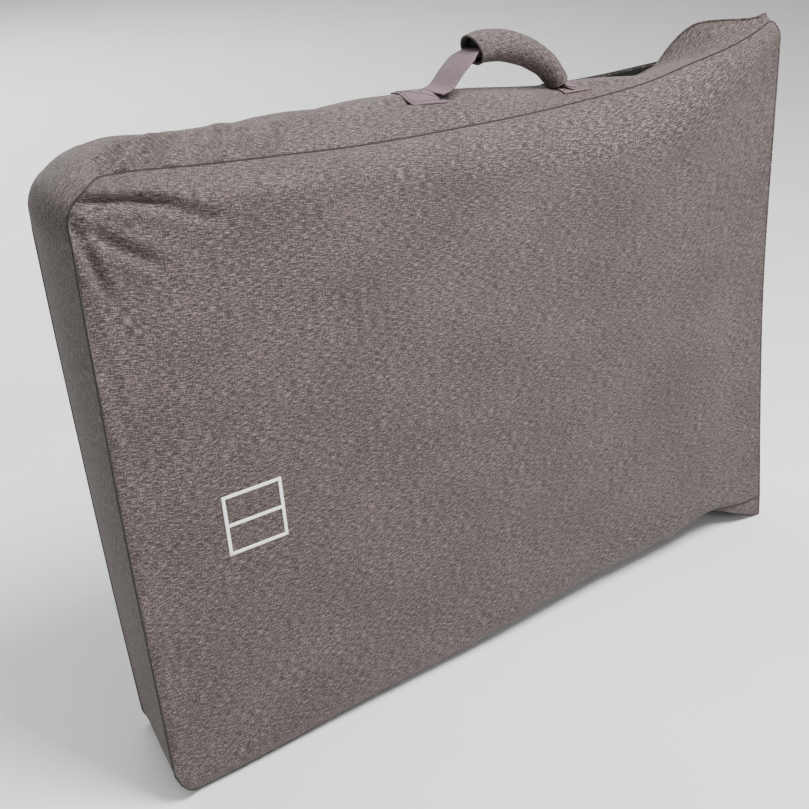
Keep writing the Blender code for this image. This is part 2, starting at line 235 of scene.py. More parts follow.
def weave_height(recipe, where, pitch):
    """Over-and-under threads: the product of a sine across and a sine along."""
    parts = recipe.add("ShaderNodeSeparateXYZ", {}, {0: where})
    turn = 2.0 * math.pi / pitch
    across = Flow(recipe, parts.socket.node.outputs[0]) * turn
    along = Flow(recipe, parts.socket.node.outputs[1]) * turn
    return across.math("SINE") * along.math("SINE")


def melange(name, dark, middle, light):
    """Woven melange cloth from three tones of one colour."""
    recipe = Recipe(name, roughness=0.92)
    where = recipe.place("UV")
    weft = recipe.noise(where, (120.0, 1150.0, 1.0), 2.0)
    warp = recipe.noise(where, (1050.0, 260.0, 1.0), 2.0)
    speck = recipe.noise(where, (520.0, 900.0, 1.0), 1.0)
    cloud = recipe.noise(where, (9.0, 14.0, 1.0), 2.0)
    tone = weft * 0.48 + warp * 0.26 + speck * 0.26 + cloud * 0.06 - 0.03
    recipe.use("Base Color", recipe.ramp(tone, [(0.38, dark), (0.50, middle), (0.64, light)]))
    recipe.use("Roughness", 0.84 + cloud * 0.14)
    height = weave_height(recipe, where, THREAD_PITCH) * 0.35 + weft + warp * 0.6
    recipe.bump(height, 0.35, 0.0006)
    recipe.shader.inputs["Sheen Weight"].default_value = 0.05
    return recipe.material


BAG_CLOTH = melange("bag_melange", (0.007, 0.0045, 0.0042), (0.049, 0.0360, 0.0338), (0.232, 0.182, 0.171))
# The seam line's near-black colour is painted shade for the sewn groove.
PAINTED_SEAM_SHADE = melange("seam_shadow", (0.006, 0.005, 0.005), (0.012, 0.010, 0.010), (0.030, 0.025, 0.024))
LINING = melange("dark_lining", (0.008, 0.008, 0.008), (0.016, 0.015, 0.015), (0.034, 0.032, 0.031))


def webbing_material():
    """Ribbed webbing: fine ribs across the strap under a slow change of tone."""
    recipe = Recipe("mauve_webbing", roughness=0.72)
    where = recipe.place("UV")
    rib = recipe.add("ShaderNodeSeparateXYZ", {}, {0: where}) * (2.0 * math.pi / 0.0026)
    ribs = rib.math("SINE") * 0.5 + 0.5
    fuzz = recipe.noise(where, (500.0, 500.0, 1.0), 2.0)
    tone = ribs * 0.20 + fuzz * 0.80
    stops = [(0.2, (0.050, 0.030, 0.036)), (0.8, (0.165, 0.110, 0.125))]
    recipe.use("Base Color", recipe.ramp(tone, stops))
    recipe.use("Roughness", 0.65 + fuzz * 0.2)
    recipe.bump(ribs + fuzz * 0.4, 0.5, 0.0005)
    return recipe.material


def thread_material():
    """Sewing thread: a twisted strand a little paler than the webbing."""
    recipe = Recipe("sewing_thread", roughness=0.6)
    twist = recipe.noise(recipe.place(), (900.0, 900.0, 900.0), 1.0)
    recipe.use("Base Color", recipe.ramp(twist, [(0.3, (0.070, 0.048, 0.054)), (0.7, (0.150, 0.110, 0.120))]))
    recipe.bump(twist, 0.3, 0.0003)
    return recipe.material


def print_material():
    """White ink: slightly worn where the cloth's threads stand up through it."""
    recipe = Recipe("white_ink", roughness=0.5)
    wear = recipe.noise(recipe.place(), (600.0, 600.0, 600.0), 2.0)
    recipe.use("Base Color", recipe.ramp(wear, [(0.25, (0.62, 0.61, 0.60)), (0.5, (0.86, 0.86, 0.85))]))
    recipe.use("Roughness", 0.45 + wear * 0.2)
    recipe.bump(wear, 0.2, 0.0003)
    return recipe.material


WEBBING = webbing_material()
THREAD = thread_material()
WHITE_INK = print_material()

# %% [markdown]
# The pen's own finishes are seen only when it is drawn out: satin tube, moulded plastic
# with a fine grain, plated pins, open mesh walls and a quilted mattress.

# %% Pen materials


def metal_material(name, colour, roughness):
    """Drawn metal: faint streaks of roughness and small handling marks."""
    recipe = Recipe(name, roughness, 1.0)
    where = recipe.place()
    streak = recipe.noise(where, (260.0, 260.0, 30.0), 3.0)
    marks = recipe.noise(where, (45.0, 45.0, 45.0), 4.0)
    dim = tuple(value * 0.82 for value in colour)
    recipe.use("Base Color", recipe.ramp(marks, [(0.3, dim), (0.6, colour)]))
    recipe.use("Roughness", roughness + streak * 0.16 + marks * 0.08)
    recipe.bump(streak, 0.08, 0.0003)
    return recipe.material


def plastic_material(name, colour, roughness):
    """Moulded plastic: spark-eroded grain and slightly polished high spots."""
    recipe = Recipe(name, roughness)
    where = recipe.place()
    grain = recipe.noise(where, (1400.0, 1400.0, 1400.0), 2.0)
    handled = recipe.noise(where, (22.0, 22.0, 22.0), 3.0)
    pale = tuple(value * 1.35 + 0.006 for value in colour)
    recipe.use("Base Color", recipe.ramp(handled, [(0.35, colour), (0.75, pale)]))
    recipe.use("Roughness", roughness - 0.08 + handled * 0.18)
    recipe.bump(grain, 0.25, 0.0002)
    return recipe.material


def woven_material(name, dark, light, pitch):
    """Plain woven cloth with a visible thread and soft wear."""
    recipe = Recipe(name, roughness=0.9)
    where = recipe.place("UV")
    height = weave_height(recipe, where, pitch)
    wear = recipe.noise(where, (30.0, 30.0, 1.0), 4.0)
    tone = height * 0.22 + wear * 0.6 + 0.2
    recipe.use("Base Color", recipe.ramp(tone, [(0.25, dark), (0.75, light)]))
    recipe.use("Roughness", 0.8 + wear * 0.15)
    recipe.bump(height, 0.4, pitch * 0.4)
    return recipe.material


def mesh_material():
    """Open mesh: round holes on a grid, cut through the cloth with alpha."""
    recipe = Recipe("wall_mesh", roughness=0.8)
    where = recipe.place("UV")
    grid = weave_height(recipe, where, 0.0060)
    hole = grid.math("ABSOLUTE").math("GREATER_THAN", 0.42)
    tone = recipe.noise(where, (300.0, 300.0, 1.0), 2.0)
    recipe.use("Base Color", recipe.ramp(tone, [(0.3, (0.07, 0.07, 0.075)), (0.7, (0.16, 0.16, 0.17))]))
    recipe.use("Alpha", 1.0 - hole * 0.9)
    recipe.bump(tone, 0.3, 0.0004)
    return recipe.material


ALUMINIUM = metal_material("satin_aluminium", (0.64, 0.65, 0.66), 0.28)
STEEL = metal_material("plated_pin", (0.56, 0.56, 0.57), 0.22)
PLASTIC = plastic_material("dark_moulding", (0.035, 0.035, 0.038), 0.5)
BUTTON = plastic_material("button_moulding", (0.36, 0.36, 0.37), 0.42)
FOAM = plastic_material("grip_foam", (0.012, 0.012, 0.013), 0.85)
BOARD = plastic_material("board_facing", (0.075, 0.075, 0.08), 0.7)
QUILT = woven_material("mattress_quilt", (0.20, 0.19, 0.19), (0.38, 0.37, 0.365), 0.0012)
BINDING = woven_material("wall_binding", (0.06, 0.055, 0.055), (0.13, 0.12, 0.12), 0.0010)
MESH = mesh_material()
print("materials:", len(bpy.data.materials))

# %% [markdown]
# Every new piece is a grid of points that numpy works out at once. A grid becomes quads,
# and its UV map is its own distance along and across in metres, so threads keep one size.

# %% Mesh helpers


def smooth_step(low, high, value):
    """0 below low, 1 above high, and 3t^2 - 2t^3 between them."""
    share = np.clip((value - low) / (high - low), 0.0, 1.0)
    return share * share * (3.0 - 2.0 * share)


def bell(value, centre, width):
    """exp(-((value - centre) / width)^2)."""
    return np.exp(-((value - centre) / width) ** 2)


def grid_faces(rows, columns, wrap_rows=False, wrap_columns=False):
    """Quads between neighbouring rows and columns of a grid, joined round where it wraps."""
    row = np.arange(rows if wrap_rows else rows - 1)
    column = np.arange(columns if wrap_columns else columns - 1)
    first, second = np.meshgrid(row, column, indexing="ij")
    next_row = (first + 1) % rows
    next_column = (second + 1) % columns
    corners = (first * columns + second, first * columns + next_column,
               next_row * columns + next_column, next_row * columns + second)
    return np.stack(corners, axis=-1).reshape(-1, 4)


def travelled(points, axis):
    """Distance along one axis of a grid, counted from its first line."""
    steps = np.linalg.norm(np.diff(points, axis=axis), axis=-1)
    lengths = np.cumsum(steps, axis=axis)
    pad = [(0, 0), (0, 0)]
    pad[axis] = (1, 0)
    return np.pad(lengths, pad)


def surface(name, points, material, body="bag", wrap_rows=False, wrap_columns=False,
            uv=None, outward=None):
    """A smooth mesh from a grid of points, turned so that its faces look outwards."""
    rows, columns = points.shape[:2]
    faces = grid_faces(rows, columns, wrap_rows, wrap_columns)
    if uv is None:
        uv = np.stack([travelled(points, 1), travelled(points, 0)], axis=-1)
    flat = points.reshape(-1, 3)
    if outward is not None and grid_normals(points)[rows // 2, columns // 2] @ np.array(outward) < 0:
        faces = faces[:, ::-1]
    mesh = bpy.data.meshes.new(name)
    mesh.from_pydata(flat.tolist(), [], faces.tolist())
    layer = mesh.uv_layers.new(name="UVMap")
    layer.data.foreach_set("uv", uv.reshape(-1, 2)[faces.reshape(-1)].astype(np.float32).ravel())
    mesh.shade_smooth()
    mesh.materials.append(material)
    item = bpy.data.objects.new(name, mesh)
    bpy.context.scene.collection.objects.link(item)
    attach(item, body)
    return item


def grid_normals(points):
    """Unit normals of a grid: the cross product of its two directions."""
    along = np.gradient(points, axis=1)
    across = np.gradient(points, axis=0)
    normal = np.cross(along, across)
    size = np.linalg.norm(normal, axis=-1, keepdims=True)
    return normal / np.maximum(size, 1e-9)


def thicken(item, thickness, offset=-1.0, lining=None):
    """Give an open sheet its thickness, inwards by default, with a lining on its inner face."""
    wall = item.modifiers.new("cloth_thickness", "SOLIDIFY")
    wall.thickness = thickness
    wall.offset = offset
    wall.use_even_offset = False
    if lining:
        item.data.materials.append(lining)
        wall.material_offset = 1
    return item


def sweep(name, path, radius, material, body="bag", sides=8, closed=False, flat=1.0):
    """A tube along a path: each ring is a circle, flattened in Z by flat, across the tangent."""
    path = np.asarray(path, float)
    tangent = np.gradient(path, axis=0)
    tangent /= np.linalg.norm(tangent, axis=1, keepdims=True)
    guide = np.where(np.abs(tangent[:, 1:2]) > 0.9, [[1.0, 0.0, 0.0]], [[0.0, 1.0, 0.0]])
    side = np.cross(guide, tangent)
    side /= np.linalg.norm(side, axis=1, keepdims=True)
    other = np.cross(tangent, side)
    angle = np.linspace(0.0, 2.0 * math.pi, sides, endpoint=False)
    radius = np.broadcast_to(np.asarray(radius, float), (len(path),)).copy()
    if not closed:
        radius[[0, -1]] = 1e-5
        path = np.vstack([path[:1], path, path[-1:]])
        radius = np.concatenate([[1e-5], np.broadcast_to(radius.max(), (len(path) - 2,)), [1e-5]])
        side = np.vstack([side[:1], side, side[-1:]])
        other = np.vstack([other[:1], other, other[-1:]])
    ring = (np.cos(angle)[None, :, None] * side[:, None] * flat
            + np.sin(angle)[None, :, None] * other[:, None])
    points = path[:, None] + ring * radius[:, None, None]
    item = surface(name, points, material, body, wrap_rows=closed, wrap_columns=True)
    close_ends(item)
    return item


def close_ends(item):
    """Merge each tube end's tiny ring to one point and turn all faces outwards."""
    shape = bmesh.new()
    shape.from_mesh(item.data)
    bmesh.ops.remove_doubles(shape, verts=shape.verts, dist=0.00004)
    bmesh.ops.recalc_face_normals(shape, faces=shape.faces)
    shape.to_mesh(item.data)
    shape.free()


def smooth_path(knots, count):
    """A Catmull-Rom curve through given knots: each span blends its four neighbours."""
    knots = np.asarray(knots, float)
    padded = np.vstack([2 * knots[0] - knots[1], knots, 2 * knots[-1] - knots[-2]])
    place = np.linspace(0.0, len(knots) - 1.000001, count)
    index = place.astype(int)
    t = (place - index)[:, None]
    a, b, c, d = (padded[index + step] for step in range(4))
    return 0.5 * (2 * b + (c - a) * t + (2 * a - 5 * b + 4 * c - d) * t ** 2
                  + (3 * b - a - 3 * c + d) * t ** 3)


# %% [markdown]
# The bag is one sewn shell, so its panels have to share their seams exactly. Each long
# panel is a stack of curved sections: it rolls under at the bottom, stands flat over the
# folded pen, and rolls back over the top. Beyond the pen the empty cloth slackens.

# %% Bag dimensions
front_low, front_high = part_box("bag_front_panel")
back_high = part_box("bag_back_panel")[1]
LEFT = front_low[0]
RIGHT = front_high[0]
DEPTH = back_high[1]
HEIGHT = front_high[2]
PEN_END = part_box("front_right_foot")[1][0]
CLOTH = 0.0022
ROLL_ANGLE = math.radians(70.0)
UNDER_ANGLE = math.radians(60.0)
UNDER_SHARE = 0.12      # share of a section's rows that rolls under
OVER_FROM = 0.84        # where the roll over the top begins
OVER_SHARE = 0.16       # share of the rows that rolls over
STRAIGHT_SHARE = 0.72   # share of the rows between the two rolls
CORNER_TOP = {-1: 0.042, 1: 0.056}
CORNER_BOTTOM = {-1: 0.046, 1: 0.016}
print("bag from", round(LEFT, 3), "to", round(RIGHT, 3), "pen ends at", round(PEN_END, 3))


# %% Seam and section formulas


def top_seam_height(x, side):
    """High at the closed end, low over the pen, and up again to a peak at the mouth."""
    fall = 0.047 * np.exp(-(np.maximum(x - LEFT, 0.0) / 0.28) ** 1.5)
    rise = 0.049 * np.clip((x - 0.12) / (RIGHT - 0.12), 0.0, 1.0) ** 3.3
    front = HEIGHT - 0.025 + fall + rise
    back = HEIGHT - 0.020 + 0.85 * fall - 0.006 * smooth_step(0.05, 0.35, x)
    return front if side < 0 else back


def top_roll(x, side):
    """Radius of the roll over the top edge: crisp at the closed end, wide further on."""
    front = (0.010 + 0.022 * smooth_step(LEFT, LEFT + 0.09, x) + 0.034 * smooth_step(-0.3, 0.25, x)
             - 0.044 * smooth_step(PEN_END, RIGHT, x))
    back = 0.012 + 0.014 * smooth_step(LEFT, LEFT + 0.09, x)
    return front if side < 0 else back


def bottom_roll(x):
    """Radius of the roll under the bottom edge."""
    front = 0.018 + 0.018 * smooth_step(-0.40, -0.10, x) + 0.030 * smooth_step(-0.10, 0.20, x)
    return front - 0.061 * smooth_step(PEN_END - 0.01, RIGHT - 0.02, x)


def bottom_seam_height(x, side):
    """Just off the floor under the pen, and lifted where the mouth's cloth is empty."""
    lift = 0.030 if side < 0 else 0.012
    tuck = 1.0 - math.sin(UNDER_ANGLE)
    return bottom_roll(x) * tuck + lift * smooth_step(PEN_END - 0.02, PEN_END + 0.07, x)


def section(v, x, side):
    """Y and Z up one section: an arc under, a straight rise, and an arc over the top."""
    roll_over = top_roll(x, side)
    roll_under = bottom_roll(x)
    high = top_seam_height(x, side) - roll_over * math.sin(ROLL_ANGLE)
    low = bottom_seam_height(x, side) + roll_under * math.sin(UNDER_ANGLE)
    under = UNDER_ANGLE * np.clip(1.0 - v / UNDER_SHARE, 0.0, 1.0)
    over = ROLL_ANGLE * np.clip((v - OVER_FROM) / OVER_SHARE, 0.0, 1.0)
    inward = roll_under * (1.0 - np.cos(under)) + roll_over * (1.0 - np.cos(over))
    rise = low + (high - low) * np.clip((v - UNDER_SHARE) / STRAIGHT_SHARE, 0.0, 1.0)
    z = rise - roll_under * np.sin(under) + roll_over * np.sin(over)
    return inward, z


def left_edge(z, side):
    """The closed end's seam: rounded at both corners and eased forward at the lower back."""
    top = top_seam_height(np.array(LEFT), side)
    upper, lower = CORNER_TOP[side], CORNER_BOTTOM[side]
    high = np.clip(z - (top - upper), 0.0, upper)
    low = np.clip(lower - z, 0.0, lower)
    turn = upper - np.sqrt(upper ** 2 - high ** 2) + lower - np.sqrt(lower ** 2 - low ** 2)
    ease = 0.0 if side < 0 else 0.019 + 0.012 * np.clip(1.0 - z / HEIGHT, 0.0, 1.0)
    return LEFT - 0.003 * np.sin(np.clip(z / HEIGHT, 0.0, 1.0) * math.pi) + turn + ease


def right_edge(v):
    """The mouth's edge: drawn in slightly between its corners."""
    return RIGHT + 0.008 - 0.007 * np.sin(v * math.pi) ** 1.2 - 0.003 * (1.0 - v)


# %% [markdown]
# Cloth is never quite flat. Long slow waves and a few sharp pulls give it life. A pull
# is a valley along a short line with a raised lip on each side, which is how cloth
# gathers where a seam is tight.

# %% Waves and pulls
FRONT_PULLS = [
    # from x, z        to x, z          width  depth
    ((-0.436, 0.655), (-0.352, 0.636), 0.008, 0.0080),
    ((-0.446, 0.640), (-0.425, 0.560), 0.008, 0.0060),
    ((-0.430, 0.625), (-0.370, 0.580), 0.009, 0.0060),
    ((-0.380, 0.645), (-0.300, 0.606), 0.009, 0.0050),
    ((-0.330, 0.652), (-0.200, 0.632), 0.012, 0.0030),
    ((-0.445, 0.540), (-0.432, 0.420), 0.010, 0.0025),
    ((0.240, 0.500), (0.400, 0.635), 0.022, 0.0030),
    ((0.390, 0.200), (0.400, 0.480), 0.030, 0.0012),
    ((0.330, 0.060), (0.440, 0.110), 0.018, 0.0020),
]
BACK_PULLS = [
    ((-0.430, 0.610), (-0.340, 0.560), 0.012, 0.0035),
    ((0.368, 0.150), (0.385, 0.520), 0.020, 0.0045),
    ((0.250, 0.590), (0.400, 0.560), 0.016, 0.0035),
    ((-0.300, 0.080), (-0.180, 0.050), 0.016, 0.0025),
]
TOP_PULLS = [
    # from x, y        to x, y
    ((-0.428, -0.078), (-0.350, -0.008), 0.0080, 0.0150),
    ((-0.408, -0.080), (-0.330, -0.012), 0.0070, -0.0090),
    ((-0.388, -0.080), (-0.302, 0.002), 0.0085, 0.0160),
    ((-0.364, -0.080), (-0.284, -0.008), 0.0070, -0.0090),
    ((-0.334, -0.080), (-0.238, 0.012), 0.0090, 0.0150),
    ((-0.308, -0.080), (-0.220, 0.002), 0.0070, -0.0080),
    ((-0.268, -0.078), (-0.170, 0.006), 0.0090, 0.0110),
    ((-0.395, 0.020), (-0.300, 0.060), 0.0100, 0.0070),
    ((-0.200, 0.000), (-0.060, 0.040), 0.0140, 0.0050),
    ((-0.120, -0.040), (-0.030, -0.004), 0.0100, 0.0060),
    ((0.190, 0.000), (0.300, -0.030), 0.0120, 0.0050),
    ((0.060, 0.040), (0.200, 0.030), 0.0140, 0.0035),
]


def pulls(a, b, lines):
    """Sum over lines of -depth (1 - 1.2 q^2) exp(-q^2), q the distance over the width."""
    total = np.zeros_like(a)
    for start, end, width, depth in lines:
        run = np.array(end) - np.array(start)
        length = np.linalg.norm(run)
        along = ((a - start[0]) * run[0] + (b - start[1]) * run[1]) / length
        aside = ((a - start[0]) * -run[1] + (b - start[1]) * run[0]) / length
        fade = smooth_step(-0.35 * length, 0.25 * length, along)
        fade = fade * (1.0 - smooth_step(0.65 * length, 1.2 * length, along))
        q = aside / width
        total -= depth * fade * (1.0 - 1.2 * q * q) * np.exp(-q * q)
    return total


def waves(a, b, size):
    """Three slow sine waves at unlike angles and lengths."""
    return size * (np.sin(9.0 * a + 5.0 * b + 0.6) + 0.6 * np.sin(17.0 * b - 8.0 * a + 2.0)
                   + 0.4 * np.sin(31.0 * a + 13.0 * b))


def panel_offset(x, z, side):
    """How far a long panel stands out of its plane at x and z."""
    lines = FRONT_PULLS if side < 0 else BACK_PULLS
    full = np.sin(np.clip((x - LEFT) / (RIGHT - LEFT), 0.0, 1.0) * math.pi)
    full = full * np.sin(np.clip(z / HEIGHT, 0.0, 1.0) * math.pi)
    slack = smooth_step(PEN_END - 0.01, RIGHT, x) * np.sin(np.clip(z / HEIGHT, 0.0, 1.0) * math.pi)
    edge = 0.0018 * bell(x, LEFT + 0.010, 0.012)
    return 0.0035 * full - 0.006 * slack + edge + waves(x, z, 0.0007) + pulls(x, z, lines)


# %% Long panels


def row_shares():
    """Rows up a section: close together where it rolls and where the corners turn."""
    parts = [np.linspace(0.0, 0.12, 16), np.linspace(0.12, 0.20, 12), np.linspace(0.20, 0.74, 58),
             np.linspace(0.74, 0.84, 22), np.linspace(0.84, 1.0, 30)]
    return np.unique(np.concatenate(parts).round(6))


def column_shares():
    """Columns along a panel: closer together at the closed end and at the mouth."""
    parts = [np.linspace(0.0, 0.36, 112), np.linspace(0.36, 0.86, 56), np.linspace(0.86, 1.0, 40)]
    return np.unique(np.concatenate(parts).round(6))


ROWS = len(row_shares())
COLUMNS = len(column_shares())


def panel_points(side):
    """The whole panel as rows up and columns along: x from edge to edge, then its section."""
    v = row_shares()[:, None]
    u = column_shares()[None, :]
    start_z = section(v, np.full_like(v, LEFT), side)[1]
    x = left_edge(start_z, side) * (1.0 - u) + right_edge(v) * u
    inward, z = section(v, x, side)
    under = UNDER_ANGLE * np.clip(1.0 - v / UNDER_SHARE, 0.0, 1.0)
    over = ROLL_ANGLE * np.clip((v - OVER_FROM) / OVER_SHARE, 0.0, 1.0)
    proud = panel_offset(x, z, side)
    y = side * (DEPTH - inward + proud * np.cos(over) * np.cos(under))
    return np.stack([x, y, z + proud * np.sin(over)], axis=-1)


front_points = panel_points(-1)
back_points = panel_points(1)


def panel_uv(points):
    """Metres along and up: x itself, and the middle column's own length."""
    up = travelled(points, 0)[:, COLUMNS // 2]
    return np.stack([points[..., 0], np.broadcast_to(up[:, None], points.shape[:2])], axis=-1)


front_panel = surface("bag_front_cloth", front_points, BAG_CLOTH, outward=(0, -1, 0),
                      uv=panel_uv(front_points))
back_panel = surface("bag_back_cloth", back_points, BAG_CLOTH, outward=(0, 1, 0),
                     uv=panel_uv(back_points))
thicken(front_panel, CLOTH, lining=LINING)
thicken(back_panel, CLOTH, lining=LINING)
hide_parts("bag_front_panel")
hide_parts("bag_back_panel")
print("front panel points:", front_points.shape)

# %% [markdown]
# One gusset runs round the bag from the top of the mouth, past the closed end, to the
# bottom of the mouth. Its two edges are the panels' own edges, so no seam can gape. On
# top it is padded out by the pen, and towards the mouth it is cut away to a point.


# %% Gusset
GUSSET_COLUMNS = 66


def panel_rim(points):
    """A panel's sewn edge: back along the top, down the closed end, and out along the bottom."""
    return np.vstack([points[-1, ::-1], points[-2:0:-1, 0], points[0, :]])


def rim_normals(rim):
    """Unit vectors in XZ that point away from the bag, at right angles to the rim's run."""
    run = np.gradient(rim, axis=0)
    normals = np.stack([run[:, 2], np.zeros(len(rim)), -run[:, 0]], axis=-1)
    return normals / np.linalg.norm(normals, axis=1, keepdims=True)


def blurred(values, rim, width=0.022):
    """Average each value with its neighbours, weighted by a bell over the run between them."""
    run = np.concatenate([[0.0], np.cumsum(np.linalg.norm(np.diff(rim, axis=0), axis=1))])
    step = np.gradient(run)
    weight = np.exp(-((run[:, None] - run[None, :]) / width) ** 2) * step[None, :]
    return weight @ values / weight.sum(axis=1)


def gusset_points():
    """Between the two rims, pushed out by a crown that differs on top, end and bottom."""
    near = panel_rim(front_points)
    far = panel_rim(back_points)
    t = np.linspace(0.0, 1.0, GUSSET_COLUMNS)[None, :, None]
    on_top = (np.arange(len(near)) < COLUMNS)[:, None]
    on_bottom = (np.arange(len(near)) >= COLUMNS + ROWS - 2)[:, None]
    x = near[:, :1]
    cut = 1.0 - (0.14 * smooth_step(0.22, 0.31, x) + 0.78 * smooth_step(0.375, RIGHT, x)) * on_top
    hang = smooth_step(PEN_END + 0.02, PEN_END + 0.06, x) * on_bottom
    share = t[:, :, 0] + (np.clip((t[:, :, 0] - 0.1) / 0.9, 0.0, 1.0) - t[:, :, 0]) * hang
    points = near[:, None] + (far - near)[:, None] * (share * cut)[:, :, None]
    arch = (4.0 * t * (1.0 - t))[:, :, 0]
    stand = 0.036 * smooth_step(0.370, 0.408, x) * (1.0 - 0.65 * smooth_step(0.405, RIGHT, x)) * t[:, :, 0]
    stand = stand - 0.010 * bell(x, 0.330, 0.045) * t[:, :, 0] ** 1.5
    top_pulls = pulls(points[:, :, 0], points[:, :, 1], TOP_PULLS) * arch ** 0.25
    points[:, :, 2] += on_top * (stand + top_pulls)
    crown = 0.020 + 0.013 * bell(x, -0.10, 0.15) - 0.014 * smooth_step(0.02, 0.24, x)
    crown = crown * (1.0 - smooth_step(0.24, 0.34, x))
    end_swell = 0.004 * smooth_step(0.0, 0.08, near[:, 2:])
    end_swell = end_swell + 0.009 * smooth_step(HEIGHT - 0.07, HEIGHT, near[:, 2:])
    swell = np.where(on_top, crown, end_swell) * ~on_bottom
    outward = rim_normals(near)[:, None]
    ripple = waves(points[:, :, 0] + points[:, :, 2], points[:, :, 1], 0.0008) * ~on_bottom
    points += outward * ((blurred(swell[:, 0], near)[:, None] + ripple) * arch)[:, :, None]
    drop = near[:, 2:] * (1.0 - smooth_step(0.0, 0.10, t[:, :, 0]))
    rise = far[:, 2:] * smooth_step(0.88, 1.0, t[:, :, 0])
    hollow = 0.031 * smooth_step(PEN_END, PEN_END + 0.05, x) * np.clip((RIGHT - x) / 0.07, 0.0, 1.0)
    hollow = hollow * smooth_step(0.0, 0.10, t[:, :, 0]) * (1.0 - smooth_step(0.3, 0.7, t[:, :, 0]))
    points[:, :, 2] = np.where(on_bottom, drop + rise + hollow, points[:, :, 2])
    return points


gusset_grid = gusset_points()
rim_run = np.concatenate([[0.0], np.cumsum(np.linalg.norm(np.diff(panel_rim(front_points), axis=0), axis=1))])
gusset_uv = np.stack([np.broadcast_to(rim_run[:, None], gusset_grid.shape[:2]),
                      travelled(gusset_grid, 1)], axis=-1)
gusset = surface("bag_gusset_cloth", gusset_grid, BAG_CLOTH, uv=gusset_uv)
if gusset.data.polygons[(COLUMNS // 2) * (GUSSET_COLUMNS - 1) + 30].normal.z < 0:
    gusset.data.flip_normals()
thicken(gusset, CLOTH, lining=LINING)
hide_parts("bag_top_gusset", "bag_end_gusset", "bag_bottom_gusset")
print("gusset points:", gusset_grid.shape)

# %% [markdown]
# Where two pieces of cloth are sewn, the stitches pull the joint into a narrow groove.
# A dark line of painted shade sits in that groove. The mouth's edge is turned over twice and sewn.

# %% Seam lines and mouth hem
SEAM_RADIUS = 0.0011
HEM_RADIUS = 0.0014
for label, points in (("front", front_points), ("back", back_points)):
    rim = panel_rim(points)
    # Each seam line is a thin dark tube of painted shade along the sewn groove.
    sweep(label + "_seam_line", rim[::2], SEAM_RADIUS, PAINTED_SEAM_SHADE, sides=6)
    sweep(label + "_mouth_hem", points[:, -1], HEM_RADIUS, BAG_CLOTH, sides=8)
sweep("slit_hem", gusset_grid[:COLUMNS // 4, -1], HEM_RADIUS, BAG_CLOTH, sides=8)
sweep("bottom_hem", gusset_grid[-1, :] + np.array([0.0, 0.0, HEM_RADIUS]), HEM_RADIUS, BAG_CLOTH,
      sides=8)
print("seams and hems done")

# %% [markdown]
# The printed mark is a neutral square frame with a bar. Ink lies on the cloth, so each
# line is a thin ribbon laid on the panel's own surface.


# %% Printed mark
emblem_low, emblem_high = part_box("emblem_print")
MARK_LINE = 0.0036
INK = 0.0005


def front_height(x, z):
    """The front cloth's y where the section is straight."""
    return -(DEPTH + panel_offset(x, z, -1))


def mark_ribbon(name, start, end):
    """A straight printed line between two points, given as x and z."""
    run = np.array(end) - np.array(start)
    length = np.linalg.norm(run)
    aside = np.array([-run[1], run[0]]) / length
    t = np.linspace(0.0, 1.0, 25)[:, None, None]
    w = np.linspace(-0.5, 0.5, 5)[None, :, None] * MARK_LINE
    place = np.array(start) + run * t + aside * w
    x, z = place[..., 0], place[..., 1]
    points = np.stack([x, front_height(x, z) - INK, z], axis=-1)
    return thicken(surface(name, points, WHITE_INK, outward=(0, -1, 0)), INK * 0.8)


mark_left, mark_right = emblem_low[0], emblem_high[0]
mark_bottom, mark_top = emblem_low[2], emblem_high[2]
half = MARK_LINE / 2
mark_middle = (mark_bottom + mark_top) / 2
mark_lines = [
    mark_ribbon("mark_left", (mark_left, mark_bottom - half), (mark_left, mark_top + half)),
    mark_ribbon("mark_right", (mark_right, mark_bottom - half), (mark_right, mark_top + half)),
    mark_ribbon("mark_base", (mark_left + half, mark_bottom), (mark_right - half, mark_bottom)),
    mark_ribbon("mark_top", (mark_left + half, mark_top), (mark_right - half, mark_top)),
    mark_ribbon("mark_bar", (mark_left + half, mark_middle), (mark_right - half, mark_middle)),
]
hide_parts("emblem_print")
print("mark lines:", len(mark_lines))

# %% [markdown]
# The handle is a loop of webbing. Each end lies flat on the bag under a box of stitches,
# rises in a lazy S, and disappears into a rolled cloth grip that is open at its ends.

# %% Handle feet
STRAP_WIDTH = 0.042
STRAP = 0.0020
FOOT_LIFT = 0.0006
STITCH_INSET = 0.004
THREAD_RADIUS = 0.00045
top_grid = gusset_grid[:COLUMNS].reshape(-1, 3)


def top_height(x, y):
    """The gusset's height at x and y: nearby points averaged with exp(-(d / 8 mm)^2)."""
    distance = (x.reshape(-1, 1) - top_grid[None, :, 0]) ** 2 + (y.reshape(-1, 1) - top_grid[None, :, 1]) ** 2
    weight = np.exp(-distance / 0.008 ** 2) + 1e-12
    return ((weight * top_grid[None, :, 2]).sum(axis=1) / weight.sum(axis=1)).reshape(x.shape)


FEET = {"left": (-0.020, 0.044), "right": (0.186, 0.040)}


def foot_patch(side, centre, length):
    """A flat piece of webbing that follows the gusset's surface."""
    x = np.linspace(centre - length / 2, centre + length / 2, 18)[:, None]
    y = np.linspace(-STRAP_WIDTH / 2, STRAP_WIDTH / 2, 14)[None, :]
    x, y = np.broadcast_arrays(x, y)
    z = top_height(x, y) + STRAP + FOOT_LIFT
    points = np.stack([x, y, z], axis=-1)
    item = surface("foot_" + side, points, WEBBING, outward=(0, 0, 1))
    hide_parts("handle_patch_" + side)
    return thicken(item, STRAP)


